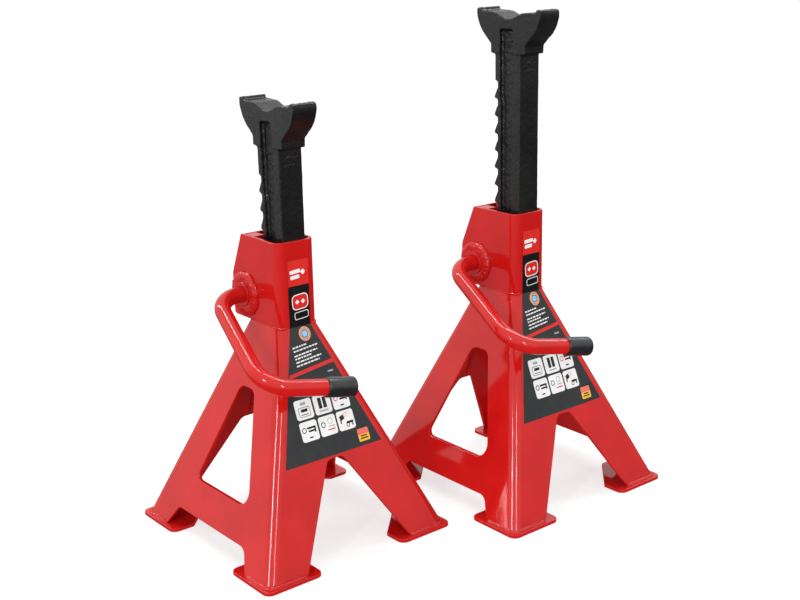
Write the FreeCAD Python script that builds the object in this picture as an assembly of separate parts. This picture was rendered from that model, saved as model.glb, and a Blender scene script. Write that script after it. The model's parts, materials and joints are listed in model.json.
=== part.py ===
"""A pair of ratchet axle stands.

Each stand is a four-legged base of two pressed steel halves, with a welded housing on top.
A cast ratchet column with an axle saddle slides in the housing, and a pawl on the handle's
shaft drops under one of the column's teeth. Stand A is set low and stand B four teeth higher.

Millimetres, +Z up. A stand's own frame has its origin on the floor under the column, its
front (the label side) at -Y and its handle at -X. Both stands face the same way, and the
origin of the pair is on the floor at the middle of its box.
"""
import FreeCAD
import Part
import math
import os

V = FreeCAD.Vector

# ---- driving dimensions -------------------------------------------------------------------
SPACING = (309.0, -83.0)      # stand B's centre from stand A's, along X and Y
TOOTH_PITCH = 22.5            # one tooth of height adjustment
TOOTH_COUNT = 13              # teeth that the pawl can hold
NOTCH_A = 3                   # the tooth held on stand A, counted from the lowest setting
NOTCH_B = 7                   # the tooth held on stand B
HORN_TOP_LOWEST = 472.7       # height of the saddle's horns at the lowest setting

SHEET = 4.0                   # housing steel
BASE_SHEET = 4.8              # base steel, measured level
BACK_SHEET = 3.0              # the housing's back cover
BEND = 12.5                   # outer radius of the bent corners

SEAM_Z = 268.0                # where the housing stands on the base
FRAME_TOP = 374.0
PLATE = 4.5                   # foot plate thickness
HALF_WIDTH = 28.0             # housing, half of its width
FRONT = 32.4                  # housing front, from the column's axis
BASE_BACK = 41.7              # base back at the seam
BACK_TOP = 46.5               # housing back at its top edge
BULGE = 69.9                  # housing back behind the handle's shaft
BULGE_TOP = 321.0
FOOT_X = 134.1                # base corners on the foot plates
FOOT_Y = 141.4
PLATE_X = 139.4               # foot plates' outer corners
PLATE_Y = 147.5
PLATE_SIZE = 80.0
PLATE_SIDE = 31.0             # straight part of a foot plate's inner sides
PLATE_ROUND = 10.0

LABEL_STRIP_HALF = 15.0       # label on the housing, half of its width
LABEL_TOP = 351.0

SHAFT_Y = 41.8                # handle shaft, behind the column
SHAFT_Z = 299.2
BAR = 10.0                    # handle bar radius
RUN_FIT = 0.06                # radial clearance of a turning fit
GRIP = 12.2                   # grip radius
GRIP_LENGTH = 37.0
GRIP_CAP = 3.0                # closed end of the grip
HANDLE_BEND = 36.0
BEND_1 = V(-69.6, SHAFT_Y, SHAFT_Z)
BEND_2 = V(-107.8, -113.0, 236.1)
HANDLE_END = V(4.6, -130.9, 216.0)
SHAFT_END = 44.0
BOSS = 15.5                   # boss radius
BOSS_LENGTH = 7.0
BOSS_WELD = 27.8
BOSS_WELD_HEIGHT = 6.0
WASHER = 2.5
WASHER_X = HALF_WIDTH + BOSS_LENGTH + 0.3
CLIP_WIDTH = 2.0
CLIP_X = WASHER_X + WASHER + 0.1

COLUMN_HALF = 16.6
COLUMN_FRONT = -27.6
COLUMN_BACK = 18.0
TOOTH_TIP = 18.6
TOOTH_ROOT = 13.6
FLAT_SLOPE = math.tan(math.radians(18.0))
FIRST_FLAT = 91.6             # first tooth under the horns
COLUMN_LENGTH = 455.0
SADDLE_HALF = 17.0
COLLAR_FOOT = 55.9            # the collar's lower edge, under the horns
POCKET_DEPTH = 5.0            # recess in each side of the column
POCKET_TOP = 26.0             # its top, under the horns
GUIDE_GAP = 0.35              # column to guide pads
STOP_PIN = 4.0
STOP_PIN_Y = -4.0
PAWL_HALF = 8.0
PAWL_PIN = 3.0
PAWL_GAP = 0.5                # pawl to tooth
PAWL_Z = HORN_TOP_LOWEST - FIRST_FLAT


# ---- helpers ------------------------------------------------------------------------------
def box(x0, x1, y0, y1, z0, z1):
    return Part.makeBox(x1 - x0, y1 - y0, z1 - z0, V(x0, y0, z0))


def rod(start, direction, radius, length):
    return Part.makeCylinder(radius, length, start, direction)


def tube(start, direction, outer, inner, length):
    return rod(start, direction, outer, length).cut(rod(start, direction, inner, length))


def rounded_wire(points, place):
    """A closed outline of (a, b, corner radius) points; place() puts (a, b) in space."""
    flat = [V(a, b, 0) for a, b, _ in points]
    count = len(points)
    edges = []
    last = None
    first = None
    for i in range(count):
        corner = flat[i]
        before = (flat[i - 1] - corner).normalize()
        after = (flat[(i + 1) % count] - corner).normalize()
        radius = points[i][2]
        if radius > 0:
            half = before.getAngle(after) / 2
            reach = radius / math.tan(half)
            enter = corner + before * reach
            leave = corner + after * reach
            middle_way = (before + after).normalize()
            centre = corner + middle_way * (radius / math.sin(half))
            crown = centre - middle_way * radius
        else:
            enter = corner
            leave = corner
        if last is not None and (enter - last).Length > 1e-6:
            edges.append(Part.LineSegment(place(last), place(enter)).toShape())
        if radius > 0:
            edges.append(Part.Arc(place(enter), place(crown), place(leave)).toShape())
        if first is None:
            first = enter
        last = leave
    if (first - last).Length > 1e-6:
        edges.append(Part.LineSegment(place(last), place(first)).toShape())
    return Part.Wire(edges)


def prism_x(points, x0, x1):
    """A (y, z, radius) outline drawn out from x0 to x1."""
    wire = rounded_wire(points, lambda p: V(x0, p.x, p.y))
    return Part.Face(wire).extrude(V(x1 - x0, 0, 0))


def prism_y(points, y0, y1):
    """An (x, z, radius) outline drawn out from y0 to y1."""
    wire = rounded_wire(points, lambda p: V(p.x, y0, p.y))
    return Part.Face(wire).extrude(V(0, y1 - y0, 0))


def prism_z(points, z0, z1):
    """An (x, y, radius) outline drawn up from z0 to z1."""
    wire = rounded_wire(points, lambda p: V(p.x, p.y, z0))
    return Part.Face(wire).extrude(V(0, 0, z1 - z0))


def on_both_sides(shape):
    """The shape and its mirror image in the plane x = 0, as two solids."""
    return Part.makeCompound([shape, shape.mirror(V(0, 0, 0), V(1, 0, 0))])


# ---- the base -----------------------------------------------------------------------------
def base_outline(z, grow, radius):
    """The base's level section at height z, grown outwards by grow."""
    t = (SEAM_Z - z) / (SEAM_Z - PLATE)
    half = HALF_WIDTH + (FOOT_X - HALF_WIDTH) * t + grow
    front = -(FRONT + (FOOT_Y - FRONT) * t + grow)
    back = BASE_BACK + (FOOT_Y - BASE_BACK) * t + grow
    corners = [(-half, front), (half, front), (half, back), (-half, back)]
    outline = [(x, y, radius) for x, y in corners]
    return rounded_wire(outline, lambda p: V(p.x, p.y, z))


def base_taper(z0, z1, grow0, grow1, radius):
    return Part.makeLoft([base_outline(z0, grow0, radius), base_outline(z1, grow1, radius)],
                         True, True)


def base_shell():
    reach = 8.0
    outer = base_taper(PLATE, SEAM_Z, 0, 0, BEND)
    inner = base_taper(PLATE - reach, SEAM_Z + reach, -BASE_SHEET, -BASE_SHEET, BEND - BASE_SHEET)
    shell = outer.cut(inner)
    far = 200.0
    window = [(-64, 70.5, 14), (55, 70.5, 8), (16.5, 194, 12), (-12.5, 194, 12)]
    under_tie = [(-93.5, -1, 0), (95.5, -1, 0), (75, 30, 8), (-76, 30, 14)]
    arch_half_floor = 80.8
    arch = [(-arch_half_floor, -1, 0), (arch_half_floor, -1, 0), (11, 116, 9), (-11, 116, 9)]
    for outline in (window, under_tie):
        shell = shell.cut(prism_x(outline, -far, far))
    return shell.cut(prism_y(arch, -far, far))


def seam_beads():
    """Weld beads inside the front and back walls, where the two halves meet."""
    bead = 2.2
    half = 3.0

    def wall(z, face, foot):
        return face + (foot - face) * (SEAM_Z - z) / (SEAM_Z - PLATE) - BASE_SHEET

    solids = []
    for sign, face, top in ((-1, FRONT, 262.0), (1, BASE_BACK, 254.0)):
        low = 119.0
        out_low = wall(low, face, FOOT_Y)
        out_top = wall(top, face, FOOT_Y)
        outline = [(sign * out_low, low, 0), (sign * (out_low - bead), low, 0),
                   (sign * (out_top - bead), top, 0), (sign * out_top, top, 0)]
        solids.append(prism_x(outline, -half, half))
    return Part.makeCompound(solids)


def foot_plate(side, end):
    inner_x = PLATE_X - PLATE_SIZE
    inner_y = PLATE_Y - PLATE_SIZE
    cut_x = PLATE_X - PLATE_SIDE
    cut_y = PLATE_Y - PLATE_SIDE
    outline = [(PLATE_X, PLATE_Y, PLATE_ROUND), (inner_x, PLATE_Y, PLATE_ROUND),
               (inner_x, cut_y, 3), (cut_x, inner_y, 3), (PLATE_X, inner_y, PLATE_ROUND)]
    return prism_z([(side * x, end * y, r) for x, y, r in outline], 0, PLATE)


def foot_welds():
    """Fillet beads round the outside of each leg on its foot plate."""
    leg = 2.8
    bead = base_taper(PLATE, PLATE + leg, leg, 0.2, BEND)
    bead = bead.cut(base_taper(PLATE - 1, PLATE + leg + 1, 0, 0, BEND))
    keep_x = 78.5
    keep_y = 94.0
    far = 200.0
    solids = []
    for side in (-1, 1):
        for end in (-1, 1):
            xs = sorted((side * keep_x, side * far))
            ys = sorted((end * keep_y, end * far))
            corner = box(xs[0], xs[1], ys[0], ys[1], 0, 50)
            solids.append(bead.common(corner))
    return Part.makeCompound(solids)


def lower_guide():
    """A bar welded across the base's throat, behind the teeth."""
    return box(-20, 20, TOOTH_TIP + 0.4, 37.4, 257.0, 266.0)


# ---- the housing --------------------------------------------------------------------------
def shaft_bore():
    return rod(V(-80, SHAFT_Y, SHAFT_Z), V(1, 0, 0), BAR + RUN_FIT, 160)


def housing_channel():
    far = BULGE + 20
    outer = [(-HALF_WIDTH, -FRONT, BEND), (HALF_WIDTH, -FRONT, BEND),
             (HALF_WIDTH, far, 0), (-HALF_WIDTH, far, 0)]
    half = HALF_WIDTH - SHEET
    inner = [(-half, SHEET - FRONT, BEND - SHEET), (half, SHEET - FRONT, BEND - SHEET),
             (half, far + 5, 0), (-half, far + 5, 0)]
    channel = prism_z(outer, SEAM_Z, FRAME_TOP).cut(prism_z(inner, SEAM_Z - 1, FRAME_TOP + 1))
    side = [(-FRONT - 5, SEAM_Z, 0), (BULGE, SEAM_Z, 5), (BULGE, BULGE_TOP, 14),
            (BACK_TOP, FRAME_TOP, 0), (-FRONT - 5, FRAME_TOP, 0)]
    return channel.common(prism_x(side, -50, 50)).cut(shaft_bore())


def back_cover():
    """Bent plate that closes the housing's back and the floor of its bulge."""
    lip = 1.0
    lean = (BULGE - BACK_TOP) / (FRAME_TOP - BULGE_TOP)
    level = BACK_SHEET / math.cos(math.atan(lean))
    back = BULGE - lip
    top = BACK_TOP - lip
    toe = BASE_BACK - BASE_SHEET + 0.5
    outline = [(top, FRAME_TOP, 0), (back, BULGE_TOP, 12), (back, SEAM_Z, 5), (toe, SEAM_Z, 0),
               (toe, SEAM_Z + BACK_SHEET, 0), (back - BACK_SHEET, SEAM_Z + BACK_SHEET, 2),
               (back - BACK_SHEET, BULGE_TOP, 9), (top - level, FRAME_TOP, 0)]
    half = HALF_WIDTH - SHEET
    return prism_x(outline, -half, half)


def top_plates():
    """Two plates that close the housing's top each side of the pawl."""
    slot = PAWL_HALF + 1.5
    half = HALF_WIDTH - SHEET
    return on_both_sides(box(slot, half, 22.5, 41.0, FRAME_TOP - 4, FRAME_TOP))


def guide_pads():
    """Strips on the housing's side walls that the column slides between."""
    half = HALF_WIDTH - SHEET
    return on_both_sides(box(COLUMN_HALF + GUIDE_GAP, half, -20, 11, 304, 358))


def collar_weld():
    """Beads along the joint of housing and base, each side of the label."""
    rise = 1.6
    proud = 0.9
    lower = base_taper(SEAM_Z - rise, SEAM_Z, 0.05, proud, BEND)
    lower = lower.cut(base_taper(SEAM_Z - rise - 1, SEAM_Z + 1, 0, 0, BEND))
    top_fit = (FOOT_X - HALF_WIDTH) / (SEAM_Z - PLATE)
    grow = proud + rise * top_fit
    upper = base_taper(SEAM_Z, SEAM_Z + rise, proud, grow - proud + 0.1, BEND)
    core = [(-HALF_WIDTH, -FRONT, BEND), (HALF_WIDTH, -FRONT, BEND),
            (HALF_WIDTH, 90, 0), (-HALF_WIDTH, 90, 0)]
    upper = upper.cut(prism_z(core, SEAM_Z - 1, SEAM_Z + rise + 1))
    bead = lower.fuse(upper)
    clear = LABEL_STRIP_HALF + 1.5
    sides = [bead.common(box(-60, -clear, -60, 28, 200, 300)),
             bead.common(box(clear, 60, -60, 28, 200, 300))]
    return Part.makeCompound(sides)


def boss(side):
    start = V(side * HALF_WIDTH, SHAFT_Y, SHAFT_Z)
    return tube(start, V(side, 0, 0), BOSS, BAR + RUN_FIT, BOSS_LENGTH)


def boss_welds():
    rings = []
    for side in (-1, 1):
        start = V(side * HALF_WIDTH, SHAFT_Y, SHAFT_Z)
        cone = Part.makeCone(BOSS_WELD, BOSS + 0.8, BOSS_WELD_HEIGHT, start, V(side, 0, 0))
        rings.append(cone.cut(rod(start, V(side, 0, 0), BOSS, BOSS_WELD_HEIGHT)))
    return Part.makeCompound(rings)


def label():
    """One printed vinyl label: a strip on the housing that widens down the base's front."""
    thick = 0.3
    low = 119.5
    half = LABEL_STRIP_HALF
    y_low = -(FRONT + (FOOT_Y - FRONT) / (SEAM_Z - PLATE) * (SEAM_Z - low))
    sheet = prism_x([(y_low, low, 0), (-FRONT, SEAM_Z, 0), (-FRONT, LABEL_TOP, 0),
                     (-FRONT - thick, LABEL_TOP, 0), (-FRONT - thick, SEAM_Z, 0),
                     (y_low - thick, low, 0)], -100, 100)
    outline = [(-71, low, 0), (72, low, 0), (half, SEAM_Z, 0), (half, LABEL_TOP, 0),
               (-half, LABEL_TOP, 0), (-half, SEAM_Z, 0)]
    return sheet.common(prism_y(outline, -200, 0))


# ---- the handle ---------------------------------------------------------------------------
def bent_path(points, radius):
    """Straight runs joined by arcs of one radius."""
    edges = []
    last = points[0]
    for i in range(1, len(points) - 1):
        corner = points[i]
        before = (points[i - 1] - corner).normalize()
        after = (points[i + 1] - corner).normalize()
        half = before.getAngle(after) / 2
        reach = radius / math.tan(half)
        way = (before + after).normalize()
        centre = corner + way * (radius / math.sin(half))
        enter = corner + before * reach
        leave = corner + after * reach
        edges.append(Part.LineSegment(last, enter).toShape())
        edges.append(Part.Arc(enter, centre - way * radius, leave).toShape())
        last = leave
    edges.append(Part.LineSegment(last, points[-1]).toShape())
    return Part.Wire(edges)


def pawl_pin_hole(radius):
    return rod(V(0, SHAFT_Y - 14, SHAFT_Z), V(0, 1, 0), radius, 28)


def handle():
    shaft_start = V(SHAFT_END, SHAFT_Y, SHAFT_Z)
    last_run = (HANDLE_END - BEND_2).normalize()
    path = bent_path([shaft_start, BEND_1, BEND_2, HANDLE_END - last_run * GRIP_CAP],
                     HANDLE_BEND)
    ring = Part.Wire([Part.makeCircle(BAR, shaft_start, V(1, 0, 0))])
    bar = path.makePipeShell([ring], True, False)
    groove = tube(V(CLIP_X, SHAFT_Y, SHAFT_Z), V(1, 0, 0), BAR + 1, BAR - 1, CLIP_WIDTH)
    return bar.cut(groove).cut(pawl_pin_hole(PAWL_PIN))


def grip():
    way = (HANDLE_END - BEND_2).normalize()
    start = HANDLE_END - way * GRIP_LENGTH
    body = rod(start, way, GRIP, GRIP_LENGTH)
    rim = 1.2
    body = body.makeFillet(rim, [edge for edge in body.Edges if edge.Closed])
    return body.cut(rod(start, way, BAR, GRIP_LENGTH - GRIP_CAP))


def washer():
    return tube(V(WASHER_X, SHAFT_Y, SHAFT_Z), V(1, 0, 0), 17, BAR + RUN_FIT, WASHER)


def shaft_clip():
    ring = tube(V(CLIP_X, SHAFT_Y, SHAFT_Z), V(1, 0, 0), 14.5, BAR - 1, CLIP_WIDTH)
    return ring.cut(box(CLIP_X - 1, CLIP_X + 4, SHAFT_Y - 3, SHAFT_Y + 3, SHAFT_Z - 20, SHAFT_Z))


def pawl():
    top = PAWL_Z
    outline = [(TOOTH_ROOT + 0.5, top + FLAT_SLOPE * 0.5 - PAWL_GAP, 0.8),
               (24, top + FLAT_SLOPE * 10.4 - PAWL_GAP, 2), (24.5, 366, 12),
               (53.3, 308.8, 0), (46, 299, 0), (27.2, 303, 0), (20.4, 363, 6),
               (TOOTH_ROOT + 0.5, top - 6.5, 0.8)]
    arm = prism_x(outline, -PAWL_HALF, PAWL_HALF)
    hub = rod(V(-14, SHAFT_Y, SHAFT_Z), V(1, 0, 0), 15, 28)
    body = arm.fuse(hub).removeSplitter()
    body = body.cut(rod(V(-40, SHAFT_Y, SHAFT_Z), V(1, 0, 0), BAR, 80))
    return body.cut(pawl_pin_hole(PAWL_PIN))


def pawl_pin():
    """A slotted spring pin that fixes the pawl on its shaft."""
    pin = pawl_pin_hole(PAWL_PIN).cut(pawl_pin_hole(PAWL_PIN - 1.1))
    return pin.cut(box(-0.6, 0.6, 0, 100, SHAFT_Z, SHAFT_Z + 5))


# ---- the column ---------------------------------------------------------------------------
def tooth_outline(horn):
    """The column's side outline: saddle, collar, back with its teeth, and the front."""
    def at(y, down, radius=0):
        return (y, horn - down, radius)

    points = [at(-60.9, 1, 1.5), at(-53.9, 0, 1), at(-52.3, 4.3, 1.2), at(-34, 4.6, 12),
              at(-28.6, 5.2, 6), at(-10, 12.6, 10), at(-0.5, 12.6, 10), at(18.2, 5.2, 6),
              at(23.6, 4.6, 12), at(41.9, 4.3, 1.2), at(43.5, 0, 1), at(50.5, 1, 1.5),
              at(51.9, 9, 22), at(44.5, 27, 38), at(25.8, 44.6, 2), at(25.5, COLLAR_FOOT, 1),
              at(COLUMN_BACK, 57.5, 1.5),
              at(COLUMN_BACK, FIRST_FLAT - 1.4, 1)]
    for i in range(TOOTH_COUNT):
        flat = FIRST_FLAT + TOOTH_PITCH * i
        points.append(at(TOOTH_ROOT, flat, 1))
        points.append(at(TOOTH_ROOT, flat + 7, 3))
        points.append(at(TOOTH_TIP, flat + 17, 3))
        if i < TOOTH_COUNT - 1:
            lift = FLAT_SLOPE * (TOOTH_TIP - TOOTH_ROOT)
            points.append(at(TOOTH_TIP, flat + TOOTH_PITCH - lift, 0.8))
    points += [at(TOOTH_TIP, COLUMN_LENGTH, 2), at(COLUMN_FRONT, COLUMN_LENGTH, 2),
               at(COLUMN_FRONT, COLLAR_FOOT, 1), at(-35.3, COLLAR_FOOT, 1), at(-35.6, 44.8, 2),
               at(-55.4, 27, 38), at(-62.3, 9, 22)]
    return points


def column(horn):
    outline = tooth_outline(horn)
    body = prism_x(outline, -SADDLE_HALF, SADDLE_HALF)
    far = 40.0
    foot = horn - COLUMN_LENGTH - 5
    for side in (-1, 1):
        xs = sorted((side * COLUMN_HALF, side * far))
        body = body.cut(box(xs[0], xs[1], -90, 90, foot, horn - COLLAR_FOOT))
        top = horn - POCKET_TOP
        wide, narrow = horn - 110, horn - 118       # the recess narrows between these
        pocket = [(-14.8, top, 4), (9.0, top, 4), (9.0, wide, 3), (7.2, narrow, 3),
                  (7.2, foot, 0), (-12.0, foot, 0), (-12.0, narrow, 3), (-14.8, wide, 3)]
        body = body.cut(prism_x(pocket, side * (COLUMN_HALF - POCKET_DEPTH), side * far))
    hole = rod(V(-30, STOP_PIN_Y, horn - COLUMN_LENGTH + 10), V(1, 0, 0), STOP_PIN, 60)
    return body.cut(hole)


def stop_pin(horn):
    """Cross pin that stops the column under the guide pads at its highest setting."""
    reach = 21.4
    return rod(V(-reach, STOP_PIN_Y, horn - COLUMN_LENGTH + 10), V(1, 0, 0), STOP_PIN,
               2 * reach)


# ---- the pair -----------------------------------------------------------------------------
def stand(prefix, notch, at):
    """Every piece of one stand, as (node name, shape), moved to its place in the pair."""
    horn = HORN_TOP_LOWEST + TOOTH_PITCH * notch
    shell = base_shell()
    far = 300.0
    pieces = {
        "base_left_half": shell.common(box(-far, 0, -far, far, 0, far)),
        "base_right_half": shell.common(box(0, far, -far, far, 0, far)),
        "base_seam_welds": seam_beads(),
        "foot_welds": foot_welds(),
        "lower_guide": lower_guide(),
        "housing_channel": housing_channel(),
        "housing_back_cover": back_cover(),
        "housing_top_plates": top_plates(),
        "guide_pads": guide_pads(),
        "collar_weld": collar_weld(),
        "boss_left": boss(-1),
        "boss_right": boss(1),
        "boss_welds": boss_welds(),
        "label": label(),
        "handle_bar": handle(),
        "handle_grip": grip(),
        "shaft_washer": washer(),
        "shaft_clip": shaft_clip(),
        "pawl": pawl(),
        "pawl_pin": pawl_pin(),
        "ratchet_column": column(horn),
        "stop_pin": stop_pin(horn),
    }
    for side, side_name in ((-1, "left"), (1, "right")):
        for end, end_name in ((-1, "front"), (1, "rear")):
            pieces["foot_plate_%s_%s" % (end_name, side_name)] = foot_plate(side, end)
    result = []
    for name, shape in pieces.items():
        shape.translate(V(at[0], at[1], 0))
        result.append((prefix + "_" + name, shape))
    return result


def main():
    os.makedirs("parts", exist_ok=True)
    middle_x = SPACING[0] / 2
    middle_y = SPACING[1] / 2
    nodes = stand("a", NOTCH_A, (-middle_x, -middle_y)) + stand("b", NOTCH_B, (middle_x, middle_y))
    for name, shape in nodes:
        shape.exportStep("parts/" + name + ".step")
        size = shape.BoundBox
        print("%-30s solids %d valid %s volume %.0f  z %.1f..%.1f"
              % (name, len(shape.Solids), shape.isValid(), shape.Volume, size.ZMin, size.ZMax))
    whole = Part.makeCompound([shape for _, shape in nodes]).BoundBox
    print("x %.2f..%.2f y %.2f..%.2f z %.2f..%.2f"
          % (whole.XMin, whole.XMax, whole.YMin, whole.YMax, whole.ZMin, whole.ZMax))


main()
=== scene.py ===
"""Looks for a pair of ratchet axle stands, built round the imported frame.

Metres, +Z up, in the frame's own axes. Stand a is set low and stand b high; both have their
label at -Y and their handle at -X. Each stand's own origin is on the floor under its column,
and the sizes below are millimetres from there.
"""

import json
import math

import bmesh
import bpy
import numpy as np
from mathutils import Matrix, Vector


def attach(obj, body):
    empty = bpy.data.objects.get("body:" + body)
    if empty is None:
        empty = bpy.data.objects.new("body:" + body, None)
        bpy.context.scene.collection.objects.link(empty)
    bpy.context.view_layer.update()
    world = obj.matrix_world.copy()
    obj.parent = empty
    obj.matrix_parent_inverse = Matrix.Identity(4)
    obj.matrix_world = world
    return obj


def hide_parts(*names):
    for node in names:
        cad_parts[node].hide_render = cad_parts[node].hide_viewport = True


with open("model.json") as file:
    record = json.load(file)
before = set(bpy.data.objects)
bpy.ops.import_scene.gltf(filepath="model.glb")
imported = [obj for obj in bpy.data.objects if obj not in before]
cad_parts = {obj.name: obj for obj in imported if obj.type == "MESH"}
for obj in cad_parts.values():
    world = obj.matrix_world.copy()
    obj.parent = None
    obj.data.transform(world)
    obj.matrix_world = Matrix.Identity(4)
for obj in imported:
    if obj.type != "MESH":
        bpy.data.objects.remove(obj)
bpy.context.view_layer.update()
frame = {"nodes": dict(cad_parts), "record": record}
MM = 0.001
STANDS = {"a": (-154.5, 41.5, 540.2), "b": (154.5, -41.5, 630.2)}    # x, y, top of the horns

SEAM_Z = 268.0                                  # joint of the base and the housing
PLATE = 4.5                                     # thickness of the foot plates
HALF_WIDTH, FRONT, BACK = 28.0, 32.4, 41.7      # of the base at the seam
FOOT_X, FOOT_Y = 134.1, 141.4                   # reach of the base at the foot plates
LEAN = (FOOT_Y - FRONT) / (SEAM_Z - PLATE)      # of the base's front face
BEND = 12.5                                     # radius of the base's four long bends
WALL = 4.8                                      # the base's steel, measured level
SHAFT_Y, SHAFT_Z = 41.8, 299.2                  # middle line of the handle's shaft
BAR = 10.0                                      # radius of the handle bar
BOSS, BOSS_WELD, BOSS_RISE = 15.5, 27.8, 6.0    # radius of boss and weld, height of weld
GRIP, GRIP_LENGTH = 12.2, 37.0                  # radius and length of the sleeve
# the bar's middle line: the shaft's far end, the first bend, the second bend, the grip's end
HANDLE = np.array([[44.0, SHAFT_Y, SHAFT_Z], [-69.6, SHAFT_Y, SHAFT_Z],
                   [-107.8, -113.0, 236.1], [4.6, -130.9, 216.0]])
HANDLE_BEND = 36.0                              # radius of both bends
SOFT_DEG = 32                                   # a skin's edges past this angle are eased


# ---- colour and shader helpers ------------------------------------------------------------
def ink(code):
    """An sRGB hex colour as the linear RGBA that the shaders take."""
    parts = [int(code[i:i + 2], 16) / 255 for i in (1, 3, 5)]
    return [c / 12.92 if c <= 0.04045 else ((c + 0.055) / 1.055) ** 2.4 for c in parts] + [1.0]


def add(tree, kind, sockets=None, stops=(), **settings):
    """Adds one shader node. Sockets holds values, or the nodes and outputs to link; stops
    holds a colour ramp's positions and hex colours."""
    made = tree.nodes.new(kind)
    for name, value in settings.items():
        setattr(made, name, value)
    for place, (position, code) in enumerate(stops):
        line = made.color_ramp.elements
        element = line[place] if place < len(line) else line.new(position)
        element.position, element.color = position, ink(code)
    for name, value in (sockets or {}).items():
        if isinstance(value, bpy.types.Node):
            value = value.outputs[0]
        if isinstance(value, bpy.types.NodeSocket):
            tree.links.new(value, made.inputs[name])
        else:
            made.inputs[name].default_value = value
    return made


def finish(name, build, **constants):
    """A material whose shader takes the linked sockets that build(tree, place) returns, and
    the constants as they are."""
    material = bpy.data.materials.new(name)
    material.use_nodes = True
    tree = material.node_tree
    tree.nodes.clear()
    place = add(tree, "ShaderNodeTexCoord").outputs["Object"]
    sockets = {key.replace("_", " "): value for key, value in constants.items()}
    sockets.update(build(tree, place))
    shader = add(tree, "ShaderNodeBsdfPrincipled", sockets)
    add(tree, "ShaderNodeOutputMaterial", {"Surface": shader})
    return material


def every(size):
    """The Scale of a noise texture whose features lie about size millimetres apart."""
    return 1 / (size * MM)


# ---- finishes -----------------------------------------------------------------------------
def red_enamel(tree, place):
    """Air-dried gloss enamel sprayed on pressed steel: a wet shine over slow 45 mm waves in
    the sheet, faint orange peel (drawn at 3.5 mm, coarser than the real 1 mm, so that it
    shows) and a slightly deeper red where the coat is thicker, in clouds of 60 mm."""
    coat = add(tree, "ShaderNodeTexNoise",
               {"Vector": place, "Scale": every(59), "Detail": 2.0})
    wave = add(tree, "ShaderNodeTexNoise",
               {"Vector": place, "Scale": every(45.5), "Detail": 1.0})
    peel = add(tree, "ShaderNodeTexNoise",
               {"Vector": place, "Scale": every(3.51), "Detail": 2.0})
    low = add(tree, "ShaderNodeBump", {"Height": peel, "Strength": 0.12, "Distance": 0.1 * MM})
    return {
        "Base Color": add(tree, "ShaderNodeValToRGB", {"Fac": coat},
                          [(0.3, "#B41110"), (0.7, "#C01714")]),
        "Roughness": add(tree, "ShaderNodeMapRange",
                         {"Value": coat, "To Min": 0.05, "To Max": 0.11}),
        "Normal": add(tree, "ShaderNodeBump", {"Height": wave, "Strength": 0.1,
                                               "Distance": 1.2 * MM, "Normal": low}),
    }


def black_casting(tree, place):
    """Sand-cast ductile iron under thin semi-gloss black paint: a sandy grain (drawn at
    1.4 mm, coarser than the real 0.5 mm, so that it shows) over soft lumps of 6 mm, with the
    paint drier and greyer in patches of 40 mm."""
    grain = add(tree, "ShaderNodeTexNoise",
                {"Vector": place, "Scale": every(1.43), "Detail": 3.0, "Roughness": 0.6})
    lumps = add(tree, "ShaderNodeTexNoise",
                {"Vector": place, "Scale": every(6.06), "Detail": 3.0})
    patches = add(tree, "ShaderNodeTexNoise",
                  {"Vector": place, "Scale": every(40), "Detail": 2.0})
    low = add(tree, "ShaderNodeBump", {"Height": grain, "Strength": 0.8, "Distance": 0.5 * MM})
    return {
        "Base Color": add(tree, "ShaderNodeValToRGB", {"Fac": patches},
                          [(0.35, "#0A0A0B"), (0.65, "#141413")]),
        "Roughness": add(tree, "ShaderNodeMapRange",
                         {"Value": lumps, "To Min": 0.16, "To Max": 0.34}),
        "Normal": add(tree, "ShaderNodeBump", {"Height": lumps, "Strength": 0.3,
                                               "Distance": 0.7 * MM, "Normal": low}),
    }


def grip_rubber(tree, place):
    """Moulded black vinyl rubber: a soft shine over the fine skin of the mould (drawn at
    2 mm, coarser than the real 0.3 mm, so that it shows), with faint clouds of 14 mm."""
    skin = add(tree, "ShaderNodeTexNoise",
               {"Vector": place, "Scale": every(2.22), "Detail": 3.0})
    cloud = add(tree, "ShaderNodeTexNoise",
                {"Vector": place, "Scale": every(14.3), "Detail": 3.0})
    return {
        "Base Color": add(tree, "ShaderNodeValToRGB", {"Fac": cloud},
                          [(0.3, "#131516"), (0.7, "#1D2022")]),
        "Roughness": add(tree, "ShaderNodeMapRange",
                         {"Value": skin, "To Min": 0.2, "To Max": 0.3}),
        "Normal": add(tree, "ShaderNodeBump",
                      {"Height": skin, "Strength": 0.25, "Distance": 0.15 * MM}),
    }


def zinc_plate(tree, place):
    """Bright zinc plate on turned fasteners: silver with faint yellow clouds of 5 mm."""
    haze = add(tree, "ShaderNodeTexNoise",
               {"Vector": place, "Scale": every(5), "Detail": 3.0})
    return {
        "Base Color": add(tree, "ShaderNodeValToRGB", {"Fac": haze},
                          [(0.3, "#B9BBBD"), (0.7, "#C8C5B4")]),
        "Roughness": add(tree, "ShaderNodeMapRange",
                         {"Value": haze, "To Min": 0.28, "To Max": 0.42}),
    }


def film_ink(low, high):
    """Screen ink under glossy vinyl film: an almost even colour, with a slow ripple of 25 mm
    where the film follows the sheet."""
    def build(tree, place):
        haze = add(tree, "ShaderNodeTexNoise",
                   {"Vector": place, "Scale": every(18.2), "Detail": 3.0})
        ripple = add(tree, "ShaderNodeTexNoise",
                     {"Vector": place, "Scale": every(25), "Detail": 1.0})
        return {
            "Base Color": add(tree, "ShaderNodeValToRGB", {"Fac": haze},
                              [(0.3, low), (0.7, high)]),
            "Roughness": add(tree, "ShaderNodeMapRange",
                             {"Value": haze, "To Min": 0.2, "To Max": 0.3}),
            "Normal": add(tree, "ShaderNodeBump",
                          {"Height": ripple, "Strength": 0.15, "Distance": 0.5 * MM}),
        }
    return build


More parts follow.
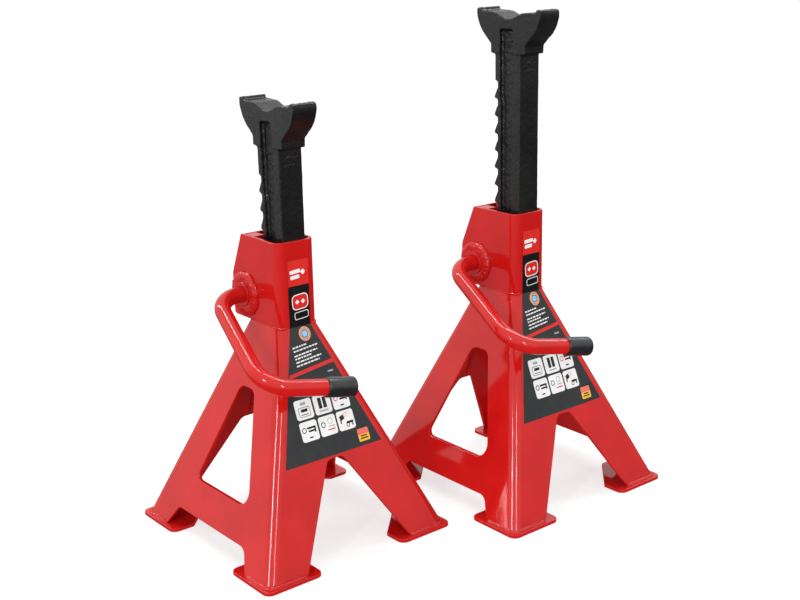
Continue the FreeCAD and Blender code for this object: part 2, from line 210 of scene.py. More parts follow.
FINISH = {
    "red_enamel": finish("red_gloss_enamel", red_enamel, IOR=1.5),
    "black_iron": finish("black_painted_casting", black_casting, IOR=1.5),
    "grip_rubber": finish("black_grip_rubber", grip_rubber, IOR=1.65),
    "label_vinyl": finish("charcoal_label_vinyl", film_ink("#1B1E1F", "#232728"), IOR=1.5),
    "zinc_steel": finish("zinc_plated_steel", zinc_plate, Metallic=1.0),
}
PRINT = {
    "white": finish("white_label_ink", film_ink("#DADBDB", "#E6E6E5"), IOR=1.5),
    "red": finish("red_label_ink", film_ink("#C81812", "#D22018"), IOR=1.5),
    "black": finish("black_label_ink", film_ink("#0C0D0E", "#131516"), IOR=1.5),
    "grey": finish("grey_label_ink", film_ink("#8C9092", "#A0A3A4"), IOR=1.5),
    "amber": finish("amber_label_ink", film_ink("#E5A81E", "#EDB52C"), IOR=1.5),
    "peach": finish("peach_label_ink", film_ink("#DF8A5E", "#E89B70"), IOR=1.5),
    "coral": finish("coral_label_ink", film_ink("#DC5F55", "#E46C60"), IOR=1.5),
    "blue": finish("pale_blue_label_ink", film_ink("#7DB0DC", "#93C0E4"), IOR=1.5),
}
slot_of = {row["node"]: row["material_slot"] for row in frame["record"]["subparts"]}
body_of = {name: body for body, names in frame["record"]["behaviour"]["bodies"].items()
           for name in names}


def paint(thing, material):
    """Leaves the material as the thing's only one."""
    thing.data.materials.clear()
    thing.data.materials.append(material)


for name, thing in frame["nodes"].items():
    paint(thing, FINISH[slot_of[name]])


# ---- surfaces -----------------------------------------------------------------------------
def unit(vectors):
    """The vectors at length one."""
    return vectors / np.linalg.norm(vectors, axis=-1, keepdims=True)


def net(points, ring_of_rows=False):
    """Corners, four-sided faces and end faces of a grid of points whose rows are closed
    loops. The first and the last row get one end face each, unless the rows too form a
    ring and are joined to each other."""
    rows, columns = points.shape[:2]
    index = np.arange(rows * columns).reshape(rows, columns)
    grid = np.concatenate([index, index[:1]]) if ring_of_rows else index
    grid = np.concatenate([grid, grid[:, :1]], axis=1)
    quads = np.stack([grid[:-1, :-1], grid[:-1, 1:], grid[1:, 1:], grid[1:, :-1]], axis=-1)
    ends = [] if ring_of_rows else [index[0][::-1], index[-1]]
    return points.reshape(-1, 3), quads.reshape(-1, 4), ends


def surface(stand, name, nets, body, slot, material=None, stands_for=(), sharp_deg=40):
    """One piece from one or more nets, given in the stand's millimetres. It moves with body,
    and the CAD pieces that it stands for are hidden."""
    x, y, _ = STANDS[stand]
    corners, faces, count = [], [], 0
    for points, quads, ends in nets:
        corners.append(points)
        faces += (quads + count).tolist() + [(end + count).tolist() for end in ends]
        count += len(points)
    placed = (np.concatenate(corners) + (x, y, 0)) * MM
    mesh = bpy.data.meshes.new(stand + "_" + name)
    mesh.from_pydata(placed.tolist(), [], faces)
    form = bmesh.new()
    form.from_mesh(mesh)
    bmesh.ops.recalc_face_normals(form, faces=form.faces)
    form.to_mesh(mesh)
    form.free()
    mesh.shade_smooth()
    mesh.set_sharp_from_angle(angle=math.radians(sharp_deg))
    piece = bpy.data.objects.new(stand + "_" + name, mesh)
    bpy.context.scene.collection.objects.link(piece)
    paint(piece, material or FINISH[slot])
    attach(piece, body)
    for node in stands_for:
        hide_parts(stand + "_" + node)


def lattice_noise(points, cell, seed):
    """Value noise: random heights from -1 to 1 on a cubic lattice of side cell, blended
    smoothly between the eight corners round each point."""
    side = 32
    heights = np.random.default_rng(seed).uniform(-1, 1, (side, side, side))
    scaled = points / cell
    base = np.floor(scaled).astype(int)
    part = scaled - base
    part = part * part * (3 - 2 * part)
    total = np.zeros(points.shape[:-1])
    for corner in np.ndindex(2, 2, 2):
        at = (base + corner) % side
        total += heights[at[..., 0], at[..., 1], at[..., 2]] * np.prod(
            np.where(corner, part, 1 - part), axis=-1)
    return total


def rounded_path(corners, radius, step):
    """Points along straight runs joined by arcs of one radius, and the unit direction at
    each. An arc leaves each run at radius / tan(half the corner's angle) from the corner."""
    stations = [corners[0]]
    ways = [unit(corners[1] - corners[0])]
    for before, corner, after in zip(corners, corners[1:], corners[2:]):
        come = unit(before - corner)
        leave = unit(after - corner)
        half = math.acos(float(np.dot(come, leave))) / 2
        middle = unit(come + leave)
        across = unit(leave - come)
        centre = corner + middle * radius / math.sin(half)
        sweep = math.pi - 2 * half
        turn = np.linspace(-sweep / 2, sweep / 2, int(radius * sweep / step) + 3)[:, None]
        stations += list(centre - radius * (np.cos(turn) * middle - np.sin(turn) * across))
        ways += list(np.cos(turn) * across + np.sin(turn) * middle)
    stations.append(corners[-1])
    ways.append(unit(corners[-1] - corners[-2]))
    return np.array(stations), np.array(ways)


# ---- fair skins over the CAD pieces -------------------------------------------------------
def merged_copy(node, join_flats=True):
    """A copy of a CAD piece with its points merged, and the triangles that are level with
    each other to 0.4 degrees joined."""
    form = bmesh.new()
    form.from_mesh(frame["nodes"][node].data)
    bmesh.ops.remove_doubles(form, verts=form.verts, dist=0.001 * MM)
    if join_flats:
        bmesh.ops.dissolve_limit(form, angle_limit=math.radians(0.4), verts=form.verts,
                                 edges=form.edges)
    mesh = bpy.data.meshes.new(node + "_skin")
    form.to_mesh(mesh)
    form.free()
    skin = bpy.data.objects.new(node + "_skin", mesh)
    bpy.context.scene.collection.objects.link(skin)
    return skin


def dress(skin, node):
    """Gives a skin its CAD piece's finish, body and slot, and hides the CAD piece."""
    paint(skin, FINISH[slot_of[node]])
    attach(skin, body_of[node])
    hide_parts(node)


def fair_skin(node, edge_mm):
    """A copy of a pressed, cut or turned piece with its edges eased as paint rounds them."""
    skin = merged_copy(node)
    skin.data.shade_smooth()
    skin.data.set_sharp_from_angle(angle=math.radians(SOFT_DEG))
    ease = skin.modifiers.new("ease", "BEVEL")
    ease.width = edge_mm * MM
    ease.segments = 2
    ease.limit_method = "ANGLE"
    ease.angle_limit = math.radians(SOFT_DEG)
    ease.harden_normals = True
    dress(skin, node)


# The column's rough places. Heights are from the horns' top, x and y from the column's middle.
RECESS_X, RECESS_Y, RECESS_TOP = (9.5, 16.0), (-15.5, 9.5), -25
RECESS_PAD = {"a": (-80, -57), "b": (-70, -31)}     # foot and top of the lumps in the recesses
RECESS_PAD_MIDDLE, RECESS_PAD_REACH = -2.9, 10.5    # of those lumps, in y
COLUMN_FRONT, FRONT_PAD, FRONT_PAD_REACH = -27.6, (-80, -62), 12    # lumps under the collar
LIPS = -4                                           # the horns are rougher above this height


def within(values, limits):
    """True where values lie between the two limits."""
    return (values > limits[0]) & (values < limits[1])


def casting(stand):
    """Saddle and column as one rough casting. The copy is remeshed evenly, then each point
    sinks along its normal by the sum of three sizes of value noise, in millimetres, more in
    the recesses and on the horns. Low pads of foundry lumps, two sizes of noise inside a
    soft-edged rectangle, stand up in the recesses and on the front under the collar."""
    node = stand + "_ratchet_column"
    x, y, horn = STANDS[stand]
    skin = merged_copy(node, join_flats=False)
    remesh = skin.modifiers.new("even", "REMESH")
    remesh.mode = "VOXEL"
    remesh.voxel_size = 1.15 * MM
    bpy.context.view_layer.update()
    even = bpy.data.meshes.new_from_object(
        skin.evaluated_get(bpy.context.evaluated_depsgraph_get()))
    skin.modifiers.clear()
    skin.data = even
    spots = np.empty(len(even.vertices) * 3)
    ways = np.empty(len(even.vertices) * 3)
    even.vertices.foreach_get("co", spots)
    even.vertices.foreach_get("normal", ways)
    spots, ways = spots.reshape(-1, 3), ways.reshape(-1, 3)
    local = spots / MM - (x, y, horn)
    wide, deep, high = np.abs(local[:, 0]), local[:, 1], local[:, 2]
    recess = within(wide, RECESS_X) & within(deep, RECESS_Y) & (high < RECESS_TOP)
    fine = lattice_noise(local, 1.7, 11)
    lumps = lattice_noise(local, 4.5, 12)
    sag = lattice_noise(local, 22, 13)
    depth = 0.09 * fine + 0.12 * lumps + 0.15 * sag - 0.28
    depth += recess * (0.2 * fine + 0.3 * lumps) + (high > LIPS) * (0.4 * fine - 0.25)
    depth = np.minimum(depth, 0)
    front = np.abs(deep - COLUMN_FRONT) < 0.8
    pads = ((recess, RECESS_PAD[stand], (deep - RECESS_PAD_MIDDLE) / RECESS_PAD_REACH),
            (front, FRONT_PAD, local[:, 0] / FRONT_PAD_REACH))
    for on, (bottom, top), across in pads:
        reach = (high - (bottom + top) / 2) / ((top - bottom) / 2)
        pad = np.clip(1.2 - reach ** 4 - across ** 4, 0, 1)
        depth += on * pad * (0.1 + 0.45 * lattice_noise(local, 2.0, 14)
                            + 0.45 * lattice_noise(local + 7, 1.5, 15))
    spots = spots + ways * depth[:, None] * MM
    even.vertices.foreach_set("co", spots.ravel())
    even.update()
    even.shade_smooth()
    dress(skin, node)


# The pieces that keep their CAD shape, and how far their edges are rounded, in millimetres.
SKINNED = {
    "base_left_half": 0.8, "base_right_half": 0.8, "housing_channel": 0.7,
    "housing_back_cover": 0.5, "housing_top_plates": 0.4, "boss_left": 0.8, "boss_right": 0.8,
    "foot_plate_front_left": 0.8, "foot_plate_front_right": 0.8, "foot_plate_rear_left": 0.8,
    "foot_plate_rear_right": 0.8, "pawl": 0.6, "shaft_washer": 0.3, "lower_guide": 0.6,
    "guide_pads": 0.5, "stop_pin": 0.5, "shaft_clip": 0.2,
}


# ---- handle and grip ----------------------------------------------------------------------
def handle(stand):
    """The bent bar: a circle carried along straight runs and arcs. It has a chamfer at the
    shaft's far end, and stops a little short of the end of the grip."""
    chamfer, short = 1.0, 3.0
    spots, ways = rounded_path(HANDLE, HANDLE_BEND, 2.0)
    spots[-1] -= ways[-1] * short
    spots = np.concatenate([spots[:1], spots[:1] + ways[:1] * chamfer, spots[1:]])
    ways = np.concatenate([ways[:1], ways])
    radius = np.full(len(spots), BAR)
    radius[0] -= chamfer
    off_the_bar = (0.0, -0.37, 0.93)    # a direction that the bar never runs along
    across = unit(np.cross(ways, off_the_bar))
    over = np.cross(across, ways)
    turn = np.linspace(0, 2 * math.pi, 56, endpoint=False)[None, :, None]
    rings = spots[:, None] + radius[:, None, None] * (
        np.cos(turn) * across[:, None] + np.sin(turn) * over[:, None])
    surface(stand, "bent_handle_bar", [net(rings)], "handle_" + stand, "red_enamel",
            stands_for=["handle_bar"])


def turned(start, way, profile, count=64, lumps=None):
    """A profile of (distance along way, radius) turned about the axis through start, count
    points to a turn. lumps may change the distances and radii round the turn."""
    way = unit(np.asarray(way, float))
    across = unit(np.cross(way, (0.0, 0.0, 1.0)))
    over = np.cross(way, across)
    turn = np.linspace(0, 2 * math.pi, count, endpoint=False)
    profile = np.asarray(profile, float)
    along = profile[:, :1] * np.ones(count)
    radius = profile[:, 1:] * np.ones(count)
    if lumps is not None:
        along, radius = lumps(along, radius, turn)
    turn = turn[None, :, None]
    return start + along[..., None] * way + radius[..., None] * (
        np.cos(turn) * across + np.sin(turn) * over)


def grip(stand):
    """The rubber sleeve: a turned profile with a soft lip at its mouth, a barely waisted
    side, a quarter-round edge and a shallow dimple in its end."""
    way = unit(HANDLE[-1] - HANDLE[-2])
    start = HANDLE[-1] - way * GRIP_LENGTH
    edge = 2.0
    turn = np.linspace(0, math.pi / 2, 7)
    profile = [(2.0, BAR - 0.5), (0.0, BAR - 0.1), (0.0, GRIP - 0.9), (0.25, GRIP - 0.35),
               (0.9, GRIP - 0.05), (3.0, GRIP), (13.0, GRIP - 0.12), (25.0, GRIP - 0.05)]
    profile += list(zip(GRIP_LENGTH - edge * (1 - np.sin(turn)),
                        GRIP - edge * (1 - np.cos(turn))))
    profile += [(GRIP_LENGTH, GRIP - 5), (GRIP_LENGTH - 0.35, GRIP - 6.5),
                (GRIP_LENGTH - 0.4, 0.5)]
    surface(stand, "handle_grip_sleeve", [net(turned(start, way, profile))],
            "handle_" + stand, "grip_rubber", stands_for=["handle_grip"], sharp_deg=50)


# ---- welds --------------------------------------------------------------------------------
DIP = 2.3           # run between two dips of the rod
FADE = 4.0          # run over which a bead swells up from its ends
BEAD_STEP = 0.55    # run between two sections
ROOT = 0.25         # how far a bead reaches into the steel
FULLNESS = 0.75     # power of a fillet's section: 1 is round, less is fuller
BEAD_SHARP = 80     # degrees past which an edge of a bead stays crisp


def bead(path, out, up, width, rise, seed, dome=False):
    """A weld bead along a path. A fillet's section bulges from width along out to rise along
    up; a dome spans rise each way along up and stands width out. Its size follows the dips
    of the rod, curved like fish scales, and two sizes of noise, and fades at the ends."""
    t = np.linspace(0, 1, 11)
    run = np.concatenate([[0], np.cumsum(np.linalg.norm(np.diff(path, axis=0), axis=1))])
    if dome:
        a, b = np.sin(math.pi * t), np.cos(math.pi * t)
    else:
        a, b = np.cos(t * math.pi / 2) ** FULLNESS, np.sin(t * math.pi / 2) ** FULLNESS
    scale = np.abs(np.sin(math.pi * (run[:, None] + 1.2 * np.sin(math.pi * t)) / DIP))
    slow = lattice_noise(path, 7.0, seed)[:, None]
    quick = lattice_noise(path[:, None] + 3 * t[:, None] * up[:, None], 2.0, seed + 1)
    ends = np.clip(np.minimum(run, run[-1] - run) / FADE, 0.02, 1)[:, None] ** 0.5
    size = ends * (0.84 + 0.16 * scale + 0.18 * slow + 0.22 * quick)
    rings = (path[:, None] + (a * size)[..., None] * width * out[:, None]
             + (b * size)[..., None] * rise * up[:, None])
    root = path[:, None] - ROOT * (out[:, None] + (0 if dome else 1) * up[:, None])
    return net(np.concatenate([rings, root], axis=1))


def corner_path(half_x, half_y, from_y, to_x):
    """A level path from (half_x, from_y) round a bent corner towards (to_x, half_y), and the
    outward direction at each point."""
    middle = (half_x - BEND, half_y - BEND)
    turn = np.arange(0, math.pi / 2, BEAD_STEP / BEND)
    arc = np.stack([np.cos(turn), np.sin(turn)], axis=1)
    side = np.arange(from_y, middle[1], BEAD_STEP)
    face = np.arange(middle[0], to_x, -BEAD_STEP)
    spots = np.concatenate([np.stack([np.full(len(side), half_x), side], axis=1),
                            middle + BEND * arc,
                            np.stack([face, np.full(len(face), half_y)], axis=1)])
    outs = np.concatenate([np.tile([1.0, 0.0], (len(side), 1)), arc,
                           np.tile([0.0, 1.0], (len(face), 1))])
    return spots, outs


def level(flat, z):
    """The (x, y) rows with one z."""
    return np.concatenate([flat, np.full((len(flat), 1), float(z))], axis=1)


def foot_weld_beads(stand, seed):
    """Fillet beads where the outside of each leg meets its foot plate."""
    spots, outs = corner_path(FOOT_X, FOOT_Y, 94.0, 78.5)
    nets = []
    for side in (-1, 1):
        for end in (-1, 1):
            out = level(outs * (side, end), 0)
            up = unit(np.array([0, 0, 1.0]) - LEAN * out)
            nets.append(bead(level(spots * (side, end), PLATE), out, up, 3.0, 3.2,
                             seed + 3 * side + end))
    surface(stand, "foot_weld_beads", nets, "frames", "red_enamel", stands_for=["foot_welds"],
            sharp_deg=BEAD_SHARP)


def collar_weld_beads(stand, seed):
    """Low beads along the joint of housing and base, heavy round the front corners."""
    spots, outs = corner_path(HALF_WIDTH, FRONT, -26.0, 16.2)
    along = np.linspace(0, 1, len(spots))
    heavy = np.clip(1.25 - np.abs(along - 0.84) / 0.16, 0.15, 1)
    heavy = np.maximum(heavy, 0.8 - along / 0.06)[:, None]
    nets = []
    for side in (-1, 1):
        path = level(spots * (side, -1), SEAM_Z)
        out = level(outs * (side, -1), 0)
        up = np.tile([0.0, 0.0, 1.0], (len(path), 1))
        nets.append(bead(path, out * heavy, up * (0.45 + 0.55 * heavy), 1.5, 2.0, seed + side,
                         dome=True))
    surface(stand, "collar_weld_beads", nets, "frames", "red_enamel",
            stands_for=["collar_weld"], sharp_deg=BEAD_SHARP)


def seam_weld_beads(stand, seed):
    """Upright beads inside the front and back walls, where the two halves meet."""
    nets = []
    bottom, step = 122.0, 0.6
    for end, at_seam, top in ((-1, FRONT, 261.0), (1, BACK, 253.0)):
        lean = (FOOT_Y - at_seam) / (SEAM_Z - PLATE)
        z = np.arange(bottom, top, step)
        path = np.stack([np.zeros(len(z)), end * (at_seam + lean * (SEAM_Z - z) - WALL), z],
                        axis=1)
        out = np.tile(unit(np.array([0.0, -end, -lean])), (len(z), 1))
        up = np.tile([1.0, 0.0, 0.0], (len(z), 1))
        nets.append(bead(path, out, up, 2.2, 3.2, seed + end, dome=True))
    surface(stand, "seam_weld_beads", nets, "frames", "red_enamel",
            stands_for=["base_seam_welds"], sharp_deg=BEAD_SHARP)


def boss_weld_rings(stand, seed):
    """A fat, lumpy fillet turned round each boss: its section bulges from the wall up to the
    boss, with coin ripples every 2.2 mm round it, which is 64 to the turn, and two sizes of
    noise in its width and height."""
    t = np.linspace(0, 1, 15)
    bite, fullness, noise_radius, half_ripples = 0.3, 0.85, 22, 32
    inner = BOSS - bite
    rise = BOSS_RISE * np.sin(t * math.pi / 2) ** fullness
    reach = inner + (BOSS_WELD - inner) * np.cos(t * math.pi / 2) ** fullness
    profile = np.concatenate([[[-bite, inner]], np.stack([rise, reach], axis=1)])
    share = np.concatenate([[0], np.sin(t * math.pi)])[:, None]
    nets = []
    for side in (-1, 1):
        def lumps(along, radius, turn):
            ring = noise_radius * np.stack([np.cos(turn), np.sin(turn),
                                            np.full(len(turn), side)], axis=1)
            slow = lattice_noise(ring, 9.0, seed)
            quick = lattice_noise(ring[None] + 6 * share[..., None], 2.8, seed + 1)
            coins = np.abs(np.sin(turn * half_ripples + 1.1 * share))
            return (along * (0.92 + 0.14 * slow + 0.2 * quick * share + 0.2 * coins * share),
                    inner + (radius - inner) * (1 + 0.07 * slow + 0.05 * quick))

        start = np.array([side * HALF_WIDTH, SHAFT_Y, SHAFT_Z])
        nets.append(net(turned(start, (side, 0, 0), profile, 220, lumps), ring_of_rows=True))
    surface(stand, "boss_weld_rings", nets, "frames", "red_enamel", stands_for=["boss_welds"],
            sharp_deg=BEAD_SHARP)


# ---- the printed label --------------------------------------------------------------------
FILM = 0.3                          # thickness of the label
LABEL_LOW, LABEL_TOP = 119.5, 351.0
STRIP = 30.0                        # width of the label on the housing
FOOT_LEFT, FOOT_RIGHT = -71.0, 72.0     # corners of its foot
SUNK = -0.05                        # an ink starts this far inside the film
GROUND, INK, OVER = 0.05, 0.08, 0.13    # heights of the inks over the film's face, each
PLAQUE, MARK, INSIDE, TOPMOST = 0.10, 0.12, 0.14, 0.18      # clear of the one under it
LABEL_SHARP = 20                    # degrees past which an edge stays crisp
MARK_TILT, ROW_TILT = 4, 4.8        # slopes of the marks and of the rows, in degrees


def on_label(flat, lift):
    """Puts (x, z) points on the label's face, raised by lift: upright on the housing, and on
    the sloping front of the base below the seam."""
    y = -(FRONT + LEAN * np.clip(SEAM_Z - flat[..., 1], 0, None)) - FILM - lift
    return np.stack([flat[..., 0], y, flat[..., 1]], axis=-1)


def label_film():
    """The film: a thin flat section carried up through the foot, the bend at the seam and
    the top of the label."""
    z = np.array([LABEL_LOW, SEAM_Z, LABEL_TOP])
    left = np.array([FOOT_LEFT, -STRIP / 2, -STRIP / 2])
    right = np.array([FOOT_RIGHT, STRIP / 2, STRIP / 2])
    front = [on_label(np.stack([x, z], axis=1), 0.0) for x in (left, right)]
    back = [on_label(np.stack([x, z], axis=1), -FILM) for x in (right, left)]
    return net(np.stack(front + back, axis=1))


def patch(outline, lift=INK):
    """A thin slab of ink over an (x, z) outline."""
    outline = np.asarray(outline, float)
    return net(np.stack([on_label(outline, SUNK), on_label(outline, lift)]))


def hoop(centre, outer, inner, lift=INK):
    """A flat ring of ink between two radii."""
    turn = np.linspace(0, 2 * math.pi, 40, endpoint=False)
    circle = np.stack([np.cos(turn), np.sin(turn)], axis=1)
    section = [(outer, SUNK), (outer, lift), (inner, lift), (inner, SUNK)]
    loops = [on_label(np.asarray(centre) + circle * radius, up) for radius, up in section]
    return net(np.stack(loops), ring_of_rows=True)


def bar(x, z, width, height, corner, tilt=0.0):
    """A rounded rectangle about (x, z): four quarter arcs, turned by tilt degrees."""
    turn = np.linspace(0, math.pi / 2, 6) + np.arange(4)[:, None] * math.pi / 2
    across = np.array([1, -1, -1, 1])[:, None] * (width / 2 - corner) + corner * np.cos(turn)
    above = np.array([1, 1, -1, -1])[:, None] * (height / 2 - corner) + corner * np.sin(turn)
    c, s = math.cos(math.radians(tilt)), math.sin(math.radians(tilt))
    points = np.stack([across.ravel(), above.ravel()], axis=1)
    return points @ np.array([[c, s], [-s, c]]) + (x, z)


def text_rows():
    """Rows of short bars in place of words: lengths drawn at random up to each row's end,
    with even gaps. A last bar too short to be a word is left out."""
    slope = math.tan(math.radians(ROW_TILT))
    gap, shortest, tall, corner = 0.9, 1.1, 1.55, 0.5
    shapes = []
    for start, z, length in ((-19.0, 245.6, 21.0), (-18.5, 241.6, 36.5), (-19.2, 236.4, 34.5),
                             (-19.0, 233.0, 24.0), (-19.1, 229.0, 38.0), (-19.6, 225.0, 34.5)):
        words = np.random.default_rng(int(z)).uniform(2.2, 6.0, 16)
        begins = np.concatenate([[0], np.cumsum(words + gap)[:-1]])
        words = np.minimum(words, length - begins)
        for begin, word in zip(begins[words > shortest], words[words > shortest]):
            middle = begin + word / 2
            shapes.append(bar(start + middle, z + middle * slope, word, tall, corner, ROW_TILT))
    return shapes


def label(stand):
    """The label as plain shapes only: a red block and a black block on the housing, a round
    badge, rows of short bars, a slanting band, six tiles with simple shapes and a small tag."""
    surface(stand, "label_film", [label_film()], "frames", "label_vinyl",
            stands_for=["label"], sharp_deg=LABEL_SHARP)
    prints = {colour: [] for colour in PRINT}
    # a red and a black ground, the red one on top where they meet
    prints["red"].append(patch(bar(0, 335.2, STRIP, 31.6, 0.4), GROUND + 0.01))
    prints["black"].append(patch(bar(0, 293.8, STRIP, 50.6, 0.4), GROUND))
    # two bars and a lozenge on the red ground
    prints["white"] += [patch(bar(-4.5, 337.0, 15, 4.6, 1.2, MARK_TILT), MARK),
                        patch(bar(-4.8, 330.2, 13, 4.6, 1.2, MARK_TILT), MARK),
                        patch(bar(6.6, 335.5, 5.2, 5.2, 0.8, 45), MARK)]
    # a red plaque with two lozenges and a black one, both outlined in white, on the black
    prints["white"] += [patch(bar(1.2, 299.0, 23.5, 19.5, 6.0, MARK_TILT), PLAQUE),
                        patch(bar(2.8, 282.0, 20.5, 9.6, 2.6, MARK_TILT), PLAQUE)]
    prints["red"].append(patch(bar(1.2, 299.0, 21.1, 17.1, 5.0, MARK_TILT), INSIDE))
    prints["white"] += [patch(bar(x, 299.0, 4.4, 4.4, 0.6, 45), TOPMOST) for x in (-3.0, 5.4)]
    prints["black"].append(patch(bar(2.8, 282.0, 18.7, 7.8, 2.0, MARK_TILT), INSIDE))
    # round badge: two rings and a disc
    badge = (3.4, 258.8)
    prints["peach"].append(hoop(badge, 8.3, 6.4, MARK))
    prints["white"].append(hoop(badge, 5.7, 5.0, MARK))
    prints["blue"].append(patch(bar(*badge, 7.6, 7.6, 3.79), MARK))
    prints["white"] += [patch(shape) for shape in text_rows()]
    # slanting band with a short dash under it
    prints["red"].append(patch([(-34.0, 213.6), (33.4, 220.4), (32.0, 224.4), (-32.4, 217.8)]))
    prints["grey"].append(patch(bar(25.5, 211.4, 8.5, 1.8, 0.6)))
    # six white tiles, in two rows of three, with plain bars and rings on them
    tiles = [(x, z) for z in (177.8, 153.0) for x in (-25.6, 1.6, 28.6)]
    prints["white"] += [patch(bar(x, z, 24.6, 22.2, 3.0)) for x, z in tiles]
    (ax, az), (bx, bz), (cx, cz), (dx, dz), (ex, ez), (gx, gz) = tiles
    prints["grey"] += [patch(bar(ax, az - 3.0, 17, 11.5, 2.4), OVER),
                       patch(bar(ax, az + 6.4, 8.0, 3.2, 1.2), OVER),
                       patch(bar(bx, bz - 7.4, 13.5, 1.5, 0.6), OVER),
                       hoop((ex + 4.4, ez + 4.4), 3.6, 2.9, OVER),
                       patch(bar(ex + 5.0, ez - 1.4, 9.0, 1.2, 0.5), OVER)]
    prints["white"].append(patch(bar(ax, az - 3.0, 14.6, 9.1, 1.8), OVER + 0.04))
    prints["black"] += [patch(bar(ax, az - 1.2, 9.5, 3.4, 0.8), OVER + 0.08),
                        patch(bar(ax, az - 5.8, 10.5, 0.9, 0.3), OVER + 0.08),
                        patch(bar(bx - 3.4, bz + 1.6, 5.0, 12.4, 0.7), OVER),
                        patch(bar(bx + 3.4, bz + 1.6, 5.0, 12.4, 0.7), OVER)]
    for x, z, colour in ((cx, cz, "red"), (dx, dz, "black")):
        prints[colour].append(hoop((x - 7.0, z + 1.8), 3.2, 2.2, OVER))
        prints["black"] += [patch(bar(x + 3.6, z + 3.4, 12.6, 2.2, 0.9), OVER),
                            patch(bar(x + 3.2, z - 0.2, 9.4, 2.0, 0.8), OVER),
                            patch(bar(x + 8.4, z + 0.8, 2.2, 6.6, 0.6), OVER),
                            patch(bar(x + 0.6, z - 7.2, 5.4, 1.6, 0.6), OVER)]
    prints["black"].append(hoop((ex - 6.4, ez + 1.8), 3.2, 2.2, OVER))
    prints["red"].append(patch(bar(ex + 4.2, ez - 5.0, 11.0, 1.4, 0.6), OVER))
    prints["black"] += [patch(bar(gx - 5.2, gz + 3.6, 6.6, 5.4, 1.4, 20), OVER),
                        patch(bar(gx - 7.6, gz - 0.6, 1.8, 4.8, 0.6), OVER),
                        patch(bar(gx + 5.0, gz - 3.2, 10.2, 2.6, 0.9), OVER),
                        hoop((gx + 1.6, gz - 5.8), 2.6, 1.6, OVER),
                        patch(bar(gx + 8.6, gz - 5.2, 1.8, 5.0, 0.6), OVER)]
    prints["peach"].append(hoop((gx + 0.4, gz + 6.4), 2.6, 1.9, OVER))
    # small tag with a coral head
    prints["amber"].append(patch(bar(48.2, 131.4, 16.4, 14.4, 1.4)))
    prints["coral"].append(patch(bar(48.2, 135.2, 16.2, 6.4, 1.2), OVER))
    prints["black"] += [patch(bar(48.2, 130.2, 9.5, 1.5, 0.5), OVER),
                        patch(bar(48.2, 127.4, 11.5, 1.5, 0.5), OVER)]
    for colour, nets in prints.items():
        surface(stand, "label_print_" + colour, nets, "frames", "label_vinyl", PRINT[colour],
                sharp_deg=LABEL_SHARP)


for seed, stand in ((40, "a"), (60, "b")):
    for piece, edge in SKINNED.items():
        fair_skin(stand + "_" + piece, edge)
    casting(stand)
    handle(stand)
    grip(stand)
    foot_weld_beads(stand, seed)
    collar_weld_beads(stand, seed + 10)
    seam_weld_beads(stand, seed + 20)
    boss_weld_rings(stand, seed + 30)
    label(stand)


# ---- the studio ---------------------------------------------------------------------------
HEADING = math.radians(39.0)            # of the camera, from +Y towards +X
PITCH = math.radians(16.33)             # down from level
ROLL = math.radians(-1.19)              # about the line of sight
CAMERA_PLACE = Vector((-0.9841, -1.2084, 0.7285))
LAMP_AIM = Vector((0, 0, 0.3))
# Four thin strips, bare enough to draw fine lines along the bends: where each stands, the
# size of its face and its watts.
LAMPS = {
    "left_strip": ((-2.2, -0.9, 1.35), (0.04, 0.8), 15),
    "front_strip": ((-0.75, -2.3, 1.4), (0.04, 0.8), 8),
    "right_overhead_strip": ((1.3, 0.1, 2.6), (0.07, 2.4), 22),
    "back_overhead_strip": ((-0.45, 1.2, 2.5), (0.07, 2.6), 26),
}


def floor_paper(tree, place):
    """Matt white background paper, with the faint mottle of its fibres (drawn at 11 mm,
    coarser than the real 2 mm, so that it shows)."""
    fibre = add(tree, "ShaderNodeTexNoise",
                {"Vector": place, "Scale": every(11.1), "Detail": 3.0})
    return {"Base Color": add(tree, "ShaderNodeValToRGB", {"Fac": fibre},
                              [(0.3, "#969696"), (0.7, "#9A9A9A")])}


def studio():
    """A round pale floor whose rim curves up into a low wall: rings of points at the radii
    and heights of the flat, a quarter arc and a short upright."""
    flat, arc, top = 6.0, 1.5, 2.2
    sweep = np.linspace(0, math.pi / 2, 12)
    radius = np.concatenate([[0.5], flat + arc * np.sin(sweep), [flat + arc]])[:, None]
    height = np.concatenate([[0.0], arc * (1 - np.cos(sweep)), [top]])[:, None]
    turn = np.linspace(0, 2 * math.pi, 96, endpoint=False)
    points = np.stack([radius * np.cos(turn), radius * np.sin(turn),
                       height * np.ones(len(turn))], axis=-1)
    corners, quads, (middle, _) = net(points)
    mesh = bpy.data.meshes.new("studio_floor")
    mesh.from_pydata(corners.tolist(), [], [*quads[:, ::-1].tolist(), middle[::-1].tolist()])
    mesh.shade_smooth()
    floor = bpy.data.objects.new("studio_floor", mesh)
    bpy.context.scene.collection.objects.link(floor)
    paint(floor, finish("white_floor_paper", floor_paper, Roughness=0.9,
                        Emission_Color=ink("#FFFFFF"), Emission_Strength=0.68))
    floor.visible_glossy = False


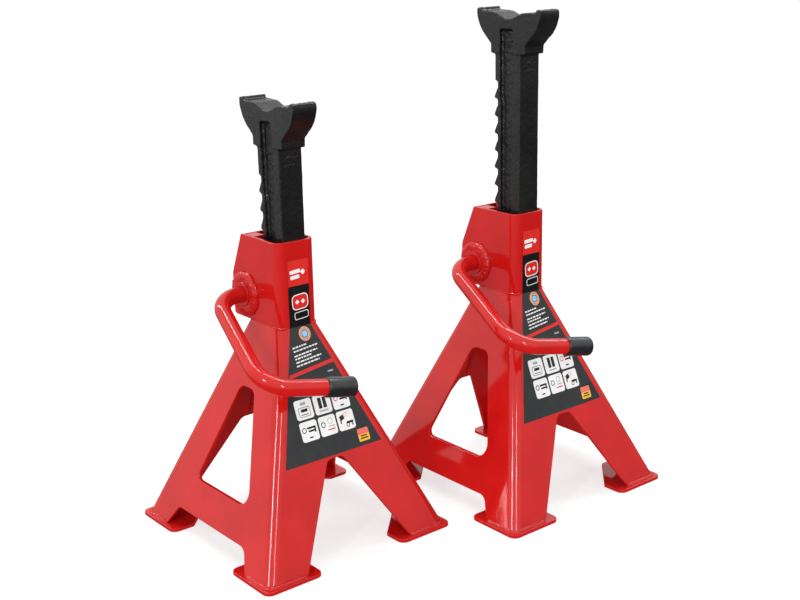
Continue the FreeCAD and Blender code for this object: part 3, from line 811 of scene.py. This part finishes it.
def studio_air():
    """White studio air: bright overhead, a little more so towards -X, and dim low down, so
    that upright faces mirror a darker room than level ones."""
    world = bpy.data.worlds.new("studio_air")
    world.use_nodes = True
    tree = world.node_tree
    tree.nodes.clear()
    way = add(tree, "ShaderNodeTexCoord").outputs["Object"]
    height = add(tree, "ShaderNodeVectorMath", {0: way, 1: (-0.2, 0.06, 1.0)},
                 operation="DOT_PRODUCT").outputs["Value"]
    light = add(tree, "ShaderNodeMapRange", {"Value": height, "From Min": -0.42,
                                             "From Max": 0.35, "To Min": 0.08, "To Max": 0.95},
                interpolation_type="SMOOTHSTEP")
    air = add(tree, "ShaderNodeBackground", {"Color": ink("#FFFFFF"), "Strength": light})
    add(tree, "ShaderNodeOutputWorld", {"Surface": air})
    bpy.context.scene.world = world


def soft_box(name, place, size, power):
    """A rectangular lamp at place, turned to face LAMP_AIM."""
    light = bpy.data.lights.new(name, "AREA")
    light.shape = "RECTANGLE"
    light.size, light.size_y = size
    light.energy = power
    lamp = bpy.data.objects.new(name, light)
    lamp.location = place
    lamp.rotation_euler = (LAMP_AIM - Vector(place)).to_track_quat("-Z", "Y").to_euler()
    bpy.context.scene.collection.objects.link(lamp)


def camera():
    """The camera stands 1.56 m off and 0.73 m up. It looks along HEADING, down by PITCH, and
    is turned about its own line of sight by ROLL."""
    lens = bpy.data.cameras.new("camera")
    lens.sensor_width = 36
    lens.lens = 57.2
    ahead = Vector((math.sin(HEADING) * math.cos(PITCH), math.cos(HEADING) * math.cos(PITCH),
                    -math.sin(PITCH)))
    level_way = Vector((math.cos(HEADING), -math.sin(HEADING), 0))
    above = level_way.cross(ahead)
    right = level_way * math.cos(ROLL) + above * math.sin(ROLL)
    up = above * math.cos(ROLL) - level_way * math.sin(ROLL)
    holder = bpy.data.objects.new("camera", lens)
    turn = Matrix((right, up, -ahead)).transposed()
    holder.matrix_world = Matrix.Translation(CAMERA_PLACE) @ turn.to_4x4()
    bpy.context.scene.collection.objects.link(holder)
    bpy.context.scene.camera = holder


studio()
studio_air()
camera()
bpy.context.scene.view_settings.view_transform = "Standard"
for name, (place, size, power) in LAMPS.items():
    soft_box(name, place, size, power)
